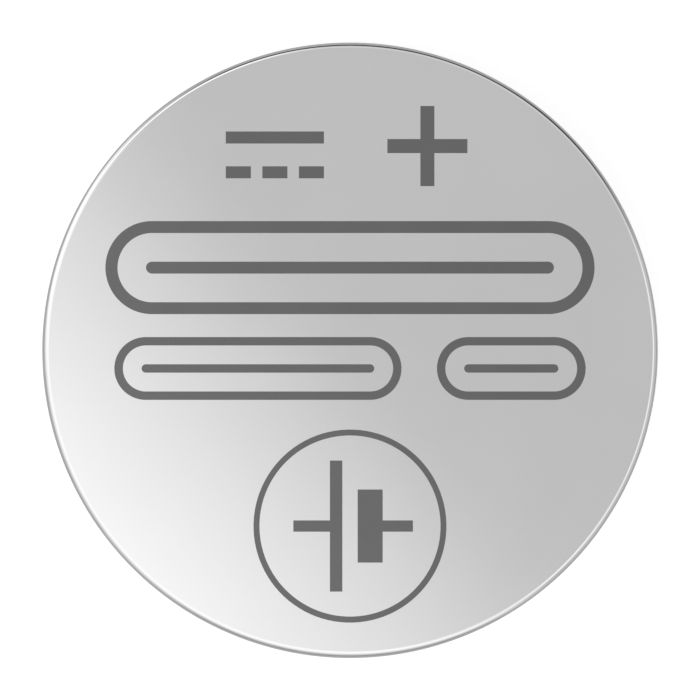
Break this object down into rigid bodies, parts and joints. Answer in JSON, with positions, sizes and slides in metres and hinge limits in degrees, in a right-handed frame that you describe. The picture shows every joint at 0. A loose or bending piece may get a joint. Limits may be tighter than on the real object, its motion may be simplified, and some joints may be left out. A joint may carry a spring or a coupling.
{
  "type": "lithium coin cell",
  "caption": "Flat round lithium coin cell: steel can with a rolled edge, plastic gasket, raised negative cap and the electrode stack inside.",
  "frame": {"origin": "centre of the raised negative contact face, which the cell rests on", "axes": "+Z along the cell's axis towards the flat positive face, +Y towards the polarity sign's side of that face"},
  "size_m": [0.0244, 0.0244, 0.005],
  "materials": {
    "plated_steel": "satin nickel plate",
    "cap_steel": "matt nickel plate with a fine grain",
    "gasket_plastic": "satin black",
    "lithium_metal": "dull metal",
    "separator_felt": "white nonwoven",
    "pressed_powder": "matt black pressed powder",
    "grid_steel": "bright punched steel"
  },
  "bodies": {
    "root": {"positive_can": "plated_steel", "negative_cap": "cap_steel", "sealing_gasket": "gasket_plastic", "lithium_anode": "lithium_metal", "separator": "separator_felt", "cathode_pellet": "pressed_powder", "cathode_collector": "grid_steel"}
  },
  "joints": []
}
